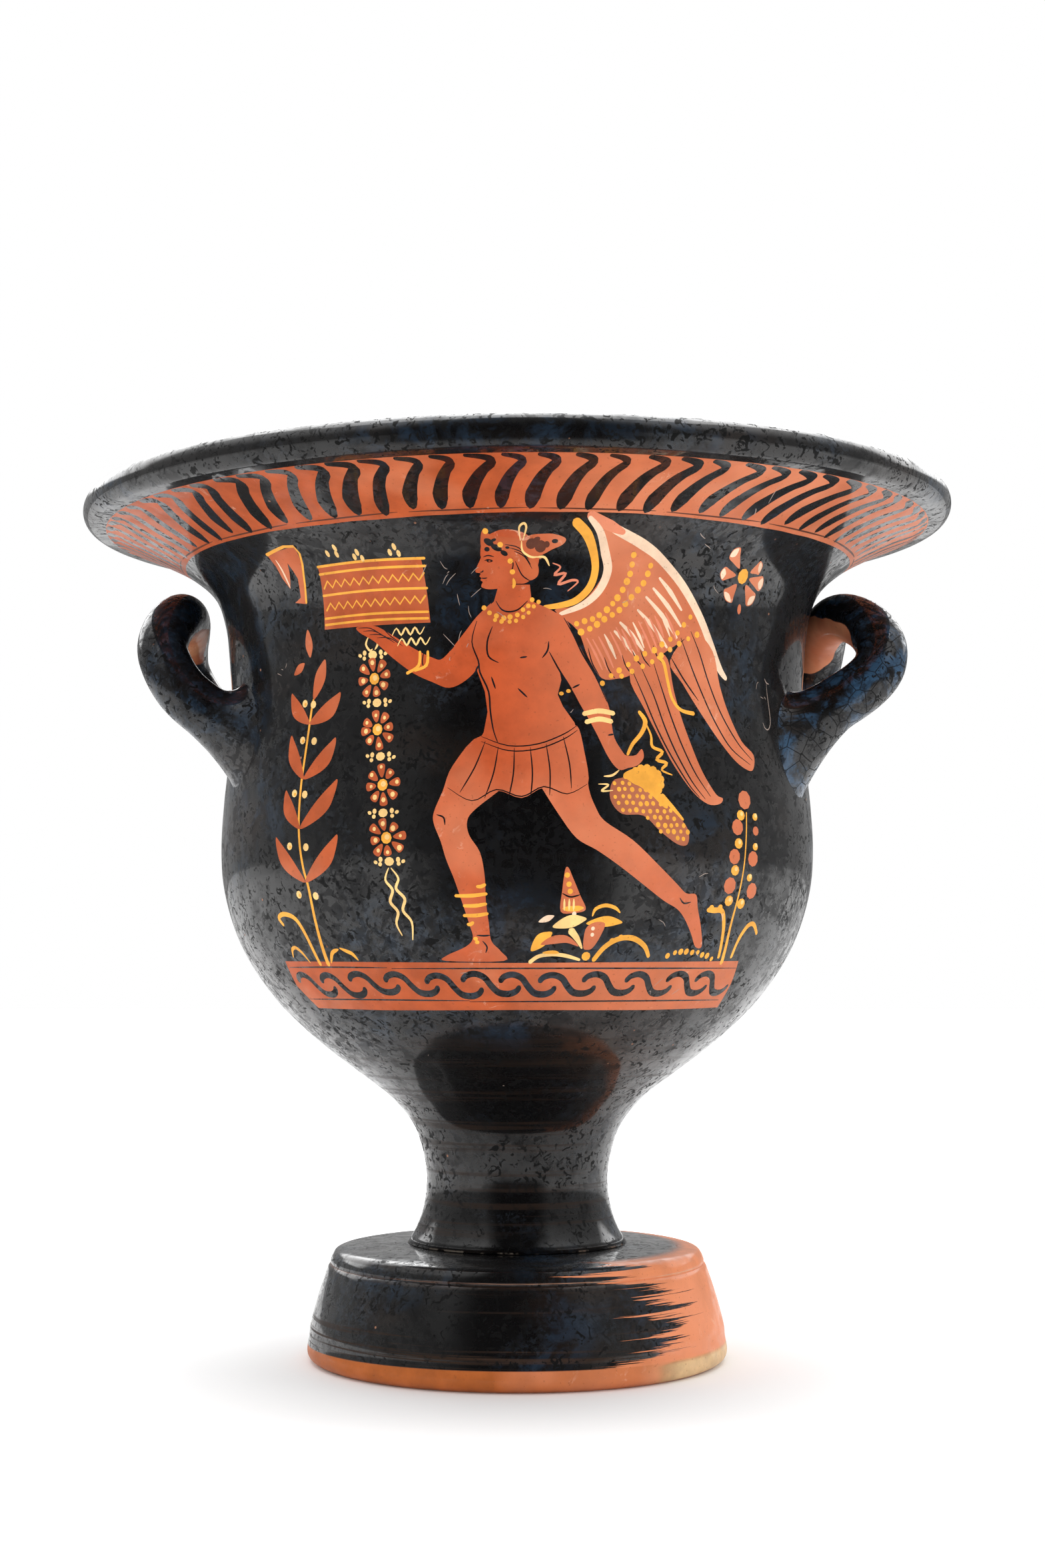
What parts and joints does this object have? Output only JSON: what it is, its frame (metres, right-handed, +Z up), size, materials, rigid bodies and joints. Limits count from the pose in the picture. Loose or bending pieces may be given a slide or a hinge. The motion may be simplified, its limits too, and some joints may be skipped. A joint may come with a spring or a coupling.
{
  "type": "bell krater",
  "caption": "Red-figure bell krater: a wide-mouthed clay mixing bowl with a flared rim, upturned loop handles, a short stem and a spreading foot.",
  "frame": {"origin": "centre of the resting ring, on the surface the krater stands on, under the axis of the wheel", "axes": "+Z up along the wheel's axis; -Y towards the painted front; -X and +X towards the left and right handles"},
  "size_m": [0.33, 0.33, 0.3302],
  "materials": {
    "body_ware": "glossy black slip with red clay bands and a painted scene",
    "foot_ware": "glossy black slip, worn to red clay in places",
    "handle_ware": "glossy black slip, bare clay on the inner face"
  },
  "bodies": {
    "root": {"body": "body_ware", "foot": "foot_ware", "handle_left": "handle_ware", "handle_right": "handle_ware"}
  },
  "joints": []
}
